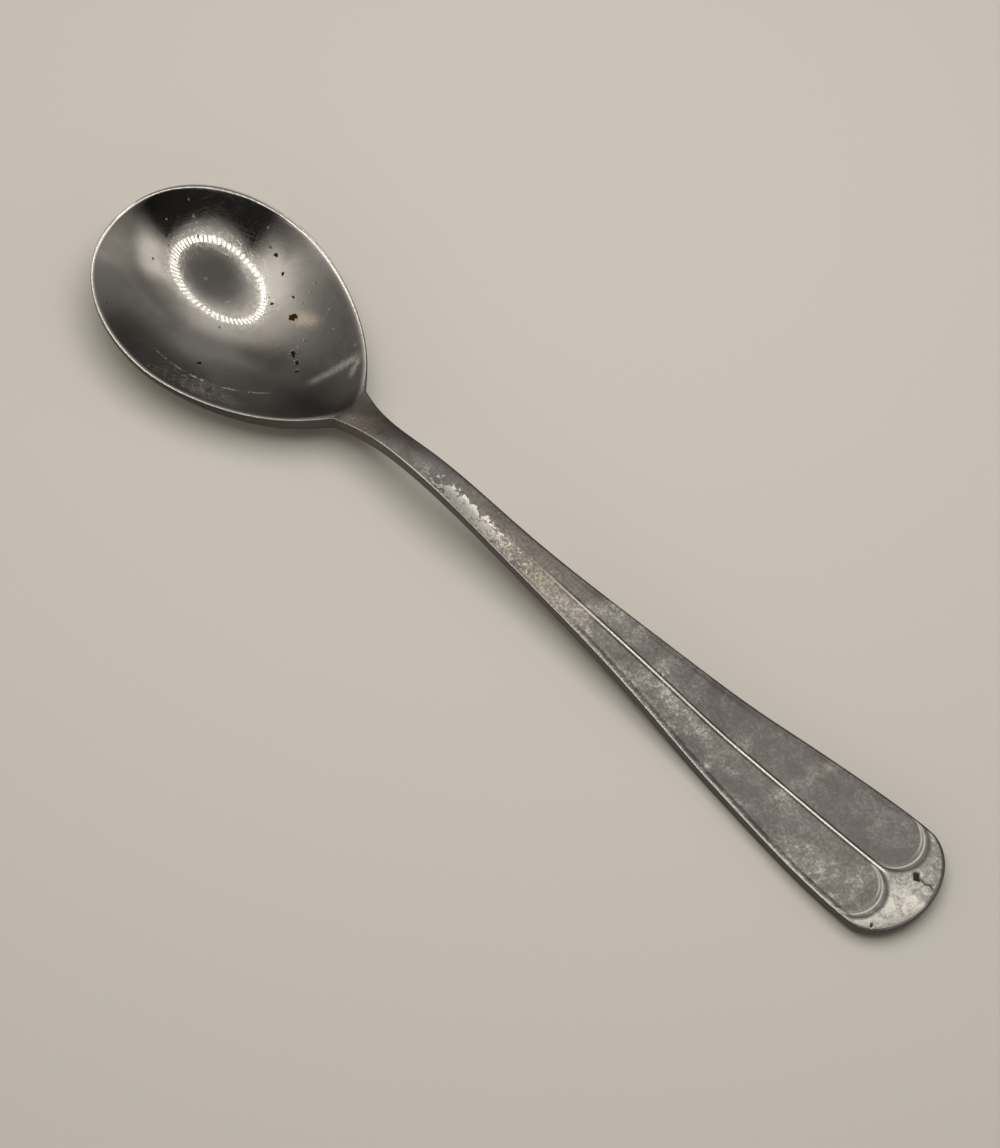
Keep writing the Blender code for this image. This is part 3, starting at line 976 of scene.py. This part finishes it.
def bowl_marks(place, along, across, top):
    """Masks of what lies on the bowl's polish: film, fine and long scratches, pits, rust and stain, and
    streaks of painted highlight at the heel.
    """
    wobble = noise(place, *WOBBLE_NOISE) - 0.5
    cells = {"Vector": place, "Scale": SPECK_CELLS}
    flat = {"voronoi_dimensions": "2D"}
    chance = place.make("ShaderNodeTexVoronoi", flat, cells, output="Color")
    speck = place.make("ShaderNodeTexVoronoi", flat, cells, output="Distance")
    speck = ramp(speck + part_of(chance, "Y") * SPECK_VARIETY, *SPECK_RADII)
    likely = part_of(chance, "X") + ramp(across, *SPECK_FAR_SIDE) * SPECK_FAR_CHANCE
    off_scratch = spot_distance(place, *SCRATCH_CENTRE) - SCRATCH_RADIUS + wobble * SCRATCH_WOBBLE
    off_scratch = off_scratch.make("ShaderNodeMath", {"operation": "ABSOLUTE"}, {0: off_scratch})
    scratch = ramp(off_scratch, *SCRATCH_WIDTH) * blotches(place, *DASHES)
    return {
        "film": blotches(place, *FILM),
        "lines": any_of(hairlines(place, *sizes) for sizes in HAIRLINES),
        "dirt": any_of(spot(place, *sizes, wobble * DIRT_WOBBLE) for sizes in DIRT_SPOTS) * top,
        "rust": spot(place, *RUST_SPOT, wobble * RUST_WOBBLE) * top,
        "speck": speck * ramp(likely, *SPECK_CHANCE) * top,
        "stain": streak(place, *STAIN, wobble * STAIN_WOBBLE) * top,
        "scratch": scratch * zone(along, across, *SCRATCH_ZONE) * top * SCRATCH_STRENGTH,
        "heel_streak_highlight": any_of(streak(place, *sizes, wobble * STREAK_WOBBLE) for sizes in HEEL_STREAKS) * top,
    }


def bowl_steel(finish):
    """Worn polish under its marks, with painted shade in the near heel and on the near wall, painted
    highlights along the rim's edge and in streaks at the heel, painted shade on the far rim, and
    tarnished steel with painted shade on the outer wall, turning to the neck's dull steel behind.
    """
    material, shader, place = steel_shader("bowl_steel")
    along = part_of(place, "X") - CAD_LOW.x
    across = part_of(place, "Y")
    near = ramp(across, *NEAR_SIDE)
    top, edge, wall, land = (surface_mask(place, name) for name in ("top", "edge", "wall", "land"))
    heel = between(top, ramp(along, *HEEL_BACK), ramp(along, *HEEL_TOP))
    heel = heel.either(land * ramp(along, *HEEL_LAND))
    masks = bowl_marks(place, along, across, top)
    # Painted shade on the near wall, where the polish is also kept smoother, and in the near heel
    near_wall = zone(along, across, *NEAR_WALL) * top
    shade = ramp(along, *HEEL_SHADE) * ramp(across, *HEEL_SHADE_SIDE) * top
    # Painted highlight along the rim's edge and lip on the near side, and on the far lip towards the
    # front
    edge_highlight = edge * (1 - heel * (1 - near * NEAR_LIP_SHARE))
    # Painted shade on the far side of the rim: on its land towards the heel and on its edge at the heel
    far_rim_shade = (land * ramp(along, *FAR_LAND) * FAR_LAND_STRENGTH).either(edge * heel * FAR_EDGE_STRENGTH)
    masks |= {
        "edge": edge,
        "wall": wall,
        "shade": shade.either(near_wall),
        "edge_highlight": edge_highlight * near.either(ramp(along, *FAR_LIP)),
        "far_rim_shade": far_rim_shade * (1 - near),
        "speck": masks["speck"] * (1 - land.either(edge)),
        "dull": masks["rust"].either(masks["dirt"]),
        "matt": blotches(place, *MATT) * (1 - near_wall),
        "dull_lines": masks["lines"] * (1 - near_wall),
        "dents": noise(place, *DENTS),
    }

    steel = coated(paint(finish.bowl_steel), BOWL_COATS, masks, finish)
    # Bright wear along the scratch, and painted highlight in the heel streaks
    steel = mix(masks["scratch"].either(masks["heel_streak_highlight"] * HEEL_STREAK_HIGHLIGHT_STRENGTH), steel, paint(finish.bright_wear_and_highlight))
    neck, neck_roughness, neck_height = neck_finish(finish, place, along)
    steel = coated(mix(heel, steel, neck), RIM_COATS, masks, finish)
    # Outer wall: tarnished steel with painted shade, near black at the front and less dark towards the
    # heel
    outside = mix(ramp(along, *WALL_BLEND), paint(finish.rim_wall_tarnish_and_shade), paint(finish.tarnish_and_shade))
    coated(mix(wall, steel, outside), MARK_COATS, masks, finish).feed(shader, "Base Color")
    roughness = weighted(BOWL_POLISH, masks, BOWL_ROUGHNESS)
    between(heel, roughness, neck_roughness).feed(shader, "Roughness")
    height = between(heel, weighted(0, masks, BOWL_RELIEF), neck_height)
    bumped(height, BOWL_BUMP).feed(shader, "Normal")
    return material


def handle_steel(finish):
    """Satin steel under a mottled patina, painted lighter on the near side, rubbed bright with painted
    highlights on the shank and pad, painted highlights on the ridge, near edge and steps, painted glints
    on the shank's near side, tarnished steel with painted shade on the walls, and painted shade on the
    far edge and in the grooves.
    """
    material, shader, place = steel_shader("handle_steel")
    along = part_of(place, "X") - CAD_LOW.x
    across = part_of(place, "Y")
    near = ramp(across, *NEAR_SIDE)
    names = ("top", "edge", "wall", "border", "ridge", "step", "groove", "pad", "mark")
    masks = {name: surface_mask(place, name) for name in names}
    masks |= {name: noise(place, *sizes) for name, sizes in PATINA_NOISES.items()}

    def pattern(start, shares, cut):
        """A mask of where the named noises and a start value are high together."""
        return ramp(weighted(start, masks, shares), *cut)

    # Painted light: the patina's patterns are lighter on the near side, most on the border
    rubbed = near * raised(masks["border"], *NEAR_LIGHT)
    speckle = pattern(0, *SPECKLE)
    thin = pattern(rubbed, *THIN) * raised(speckle, *THIN_STRENGTH) + pattern(0, *GRIT) * GRIT_SHARE
    # Worn steel and a painted highlight on the near half of the shank, broken into bright flakes
    core = zone(along, across, *SHANK_WEAR_AND_HIGHLIGHT) * masks["top"]
    flakes = ramp(noise(place, *FLAKE_NOISE) + core * FLAKE_GATHERING, *FLAKE_CUT)
    flakes = flakes * ramp(core, *FLAKE_ZONE)
    warmth = ramp(along, *WARM_START) * ramp(along, *WARM_STOP) * masks["top"]
    warmth = warmth * raised(near, *FAR_WARMTH)
    # The pad is worn bright and painted with a highlight that is stronger on the near side
    pad_wear_and_highlight = masks["pad"] * raised(pattern(near * NEAR_PAD_LIGHT, *PAD_GRAIN), *PAD_STRENGTH)
    # Painted highlight along the handle's near edge, stronger past the neck
    edge_highlight = masks["edge"] * near * raised(ramp(along, *EDGE_HIGHLIGHT_START), *EDGE_HIGHLIGHT_STRENGTH)
    # Painted shade along the handle's far edge
    far_edge_shade = masks["edge"] * (1 - near) * FAR_EDGE_SHADE
    masks |= {
        "thin": thin,
        "frost": pattern(rubbed, *FROST) * speckle,
        "warm": warmth * raised(speckle, *WARM_STRENGTH),
        "glint": pattern(0, *GLINT) * warmth * near,
        "flakes": flakes,
        "pad_wear_and_highlight": pad_wear_and_highlight,
        # Worn steel and painted highlights on the flakes and pad, painted highlights on the ridge, near
        # edge and steps
        "bright": any_of((flakes, pad_wear_and_highlight, masks["ridge"], edge_highlight, masks["step"] * STEP_SHINE)),
        # Tarnished steel with painted shade on the walls, painted shade on the far edge and in the
        # grooves
        "dark": any_of((masks["wall"], far_edge_shade, masks["groove"] * GROOVE_SHADE)),
    }

    steel = coated(paint(finish.patina), PATINA_COATS, masks, finish)
    smooth = ramp(along, *NECK)
    neck, neck_roughness, neck_height = neck_finish(finish, place, along)
    steel = mix(smooth, steel, neck)
    coated(steel, WEAR_COATS, masks, finish).feed(shader, "Base Color")
    roughness = weighted(HANDLE_SATIN, masks, HANDLE_ROUGHNESS)
    between(smooth, roughness, neck_roughness).feed(shader, "Roughness")
    height = between(smooth, weighted(0, masks, HANDLE_RELIEF), neck_height)
    bumped(height, HANDLE_BUMP).feed(shader, "Normal")
    return material


def floor_paint(studio):
    """Matt pale paint."""
    material = bpy.data.materials.new("floor_paint")
    material.use_nodes = True
    shader = material.node_tree.nodes["Principled BSDF"]
    shader.inputs["Base Color"].default_value = paint(studio.floor_colour)
    shader.inputs["Roughness"].default_value = studio.floor_roughness
    shader.inputs["Specular IOR Level"].default_value = studio.floor_gloss
    return material


class SPOON_OT_bowl(bpy.types.Operator):
    """Builds the bowl's skin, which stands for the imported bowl"""

    bl_idname = "spoon.bowl"
    bl_label = "Bowl"

    def execute(self, context):
        rings, masks, joint = spoon_rings(context.scene.spoon_shape)
        masks = {name: mask[: joint + 1] for name, mask in masks.items()}
        normals = joint_ring_normals(rings, joint)
        material = bowl_steel(context.scene.spoon_finish)
        piece = skin("bowl_skin", rings[: joint + 1], masks, normals, True, material)
        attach(piece, BODY)
        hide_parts("bowl")
        return {"FINISHED"}


class SPOON_OT_handle(bpy.types.Operator):
    """Builds the handle's skin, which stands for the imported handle"""

    bl_idname = "spoon.handle"
    bl_label = "Handle"

    def execute(self, context):
        rings, masks, joint = spoon_rings(context.scene.spoon_shape)
        masks = {name: mask[joint:] for name, mask in masks.items()}
        normals = joint_ring_normals(rings, joint)
        material = handle_steel(context.scene.spoon_finish)
        piece = skin("handle_skin", rings[joint:], masks, normals, False, material)
        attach(piece, BODY)
        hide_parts("handle")
        return {"FINISHED"}


# Nearest distance that the camera sees
CAMERA_CLIP = 0.01


def add_camera(studio):
    """A camera on a line from its target, turned about that line by its roll."""
    data = bpy.data.cameras.new("camera")
    data.sensor_fit = "AUTO"
    data.lens = studio.camera_focal * data.sensor_width
    data.clip_start = CAMERA_CLIP
    camera = bpy.data.objects.new("camera", data)
    turn = Matrix.Rotation(studio.camera_heading - math.pi / 2, 4, "Z")
    turn = turn @ Matrix.Rotation(math.pi / 2 - studio.camera_dip, 4, "X")
    turn = turn @ Matrix.Rotation(studio.camera_roll, 4, "Z")
    back = Matrix.Translation((0, 0, studio.camera_distance))
    camera.matrix_world = Matrix.Translation(studio.camera_target) @ turn @ back
    bpy.context.scene.collection.objects.link(camera)
    bpy.context.scene.camera = camera


def add_floor(studio):
    """A square of floor at the table's height."""
    reach = np.array((-1, 1)) * studio.floor_size / 2
    x, y = np.meshgrid(reach, reach)
    corners = np.stack([x.ravel(), y.ravel(), np.zeros(4)], axis=1)
    mesh = bpy.data.meshes.new("floor")
    mesh.from_pydata(corners, [], [(0, 1, 3, 2)])
    mesh.materials.append(floor_paint(studio))
    floor = bpy.data.objects.new("floor", mesh)
    bpy.context.scene.collection.objects.link(floor)


def add_ring_lamps(studio):
    """An oval ring of small bar lamps over the spoon, facing down, each bar pointing outwards."""
    data = bpy.data.lights.new("ring_lamp", "AREA")
    data.shape = "RECTANGLE"
    data.size = studio.bar_length
    data.size_y = studio.bar_width
    data.energy = studio.ring_power / studio.ring_lamps
    data.color = studio.ring_colour
    for number, turn in enumerate(np.linspace(0, math.tau, studio.ring_lamps, endpoint=False)):
        lamp = bpy.data.objects.new(f"ring_lamp_{number}", data)
        lamp.location = (
            studio.ring_centre[0] + studio.ring_length / 2 * math.cos(turn),
            studio.ring_centre[1] + studio.ring_breadth / 2 * math.sin(turn),
            studio.ring_height,
        )
        lamp.rotation_euler.z = turn
        lamp.scale.x = 1 + studio.bar_swing * math.cos(turn - studio.bar_heading)
        bpy.context.scene.collection.objects.link(lamp)


def add_soft_lamp(studio):
    """A broad soft lamp that lights the floor and is not mirrored in the steel."""
    data = bpy.data.lights.new("soft_lamp", "AREA")
    data.shape = "DISK"
    data.size = studio.soft_size
    data.energy = studio.soft_power
    lamp = bpy.data.objects.new("soft_lamp", data)
    lamp.location = (*studio.soft_centre, studio.soft_height)
    lamp.visible_glossy = False
    bpy.context.scene.collection.objects.link(lamp)


# Zenith angles at which the light of each height of the room begins and is full
MIDDLE_FADE = (88, 60)
WALL_FADE = (54, 34)
ROOF_FADE = (27, 10)

# Patches of the room in the order in which they are laid: light added or share taken away; heading, half
# breadth and softness in degrees; zenith angles at which it fades in, if above the floor, and fades out
PATCHES = (
    ("add", 0.17, (72, 28, 14), (84, 66), (58, 46)),
    ("dim", 0.50, (177, 38, 8), None, (56, 42)),
    ("dim", 0.50, (158, 22, 12), None, (72, 60)),
    ("dim", 0.50, (88, 16, 12), None, (60, 50)),
    ("dim", 0.40, (86, 16, 10), (58, 50), (38, 30)),
    ("add", 0.35, (50, 17, 10), (50, 42), (35, 29)),
    ("add", 0.30, (218, 18, 12), (46, 36), (30, 24)),
    ("dim", 0.97, (314, 67, 12), (60, 53), (31, 21)),
    ("dim", 0.60, (243, 9, 8), (56, 50), (40, 36)),
    ("add", 0.55, (292, 118, 14), None, (68, 58)),
)


def add_surroundings(studio):
    """A plain room of soft light: levels by height, then brighter and dimmer patches laid in order."""
    world = bpy.data.worlds.new("surroundings")
    world.use_nodes = True
    background = world.node_tree.nodes["Background"]
    background.inputs["Color"].default_value = paint(studio.wall_colour)
    way = Wire(background.inputs["Color"]).make("ShaderNodeTexCoord", output="Generated")
    height = part_of(way, "Z")
    level_way = way.make("ShaderNodeVectorMath", {"operation": "MULTIPLY"}, {0: way, 1: (1, 1, 0)})
    level_way = way.make("ShaderNodeVectorMath", {"operation": "NORMALIZE"}, {0: level_way})

    def sector(heading, half, soft):
        """A mask of the directions round a heading."""
        heading, half, soft = np.radians((heading, half, soft))
        sockets = {0: level_way, 1: (math.cos(heading), math.sin(heading), 0)}
        facing = way.make("ShaderNodeVectorMath", {"operation": "DOT_PRODUCT"}, sockets, output="Value")
        return ramp(facing, math.cos(half + soft), math.cos(half - soft))

    def above(low, high):
        """A mask of the directions above a height."""
        return ramp(height, math.cos(math.radians(low)), math.cos(math.radians(high)))

    light = studio.low_level + (studio.middle_level - studio.low_level) * above(*MIDDLE_FADE)
    light = light + (studio.wall_level - studio.middle_level) * above(*WALL_FADE)
    light = light + (studio.roof_level - studio.wall_level) * above(*ROOF_FADE)
    for kind, strength, breadth, lower, upper in PATCHES:
        band = (above(*lower) if lower else 1) - above(*upper)
        patch = strength * sector(*breadth) * band
        light = light + patch if kind == "add" else light * (1 - patch)
    light.feed(background, "Strength")
    bpy.context.scene.world = world


class SPOON_OT_stage(bpy.types.Operator):
    """Builds the floor, the lamps, the surroundings and the camera"""

    bl_idname = "spoon.stage"
    bl_label = "Stage"

    def execute(self, context):
        studio = context.scene.spoon_studio
        add_camera(studio)
        add_floor(studio)
        add_ring_lamps(studio)
        add_soft_lamp(studio)
        add_surroundings(studio)
        context.scene.view_settings.view_transform = "Standard"
        return {"FINISHED"}


class SPOON_PT_panel(bpy.types.Panel):
    """Lists the pieces of the spoon and its stage"""

    bl_idname = "SPOON_PT_panel"
    bl_label = "Tablespoon"
    bl_space_type = "VIEW_3D"
    bl_region_type = "UI"
    bl_category = "Tablespoon"

    def draw(self, context):
        for operator in OPERATORS:
            self.layout.operator(operator.bl_idname)


OPERATORS = (SPOON_OT_stage, SPOON_OT_bowl, SPOON_OT_handle)
CLASSES = (SpoonShape, SpoonFinish, Studio, *OPERATORS, SPOON_PT_panel)


def register():
    for item in CLASSES:
        bpy.utils.register_class(item)
    bpy.types.Scene.spoon_shape = PointerProperty(type=SpoonShape)
    bpy.types.Scene.spoon_finish = PointerProperty(type=SpoonFinish)
    bpy.types.Scene.spoon_studio = PointerProperty(type=Studio)


def unregister():
    del bpy.types.Scene.spoon_studio
    del bpy.types.Scene.spoon_finish
    del bpy.types.Scene.spoon_shape
    for item in reversed(CLASSES):
        bpy.utils.unregister_class(item)


def main():
    register()
    bpy.ops.spoon.stage()
    bpy.ops.spoon.bowl()
    bpy.ops.spoon.handle()


if __name__ == "__main__":
    main()
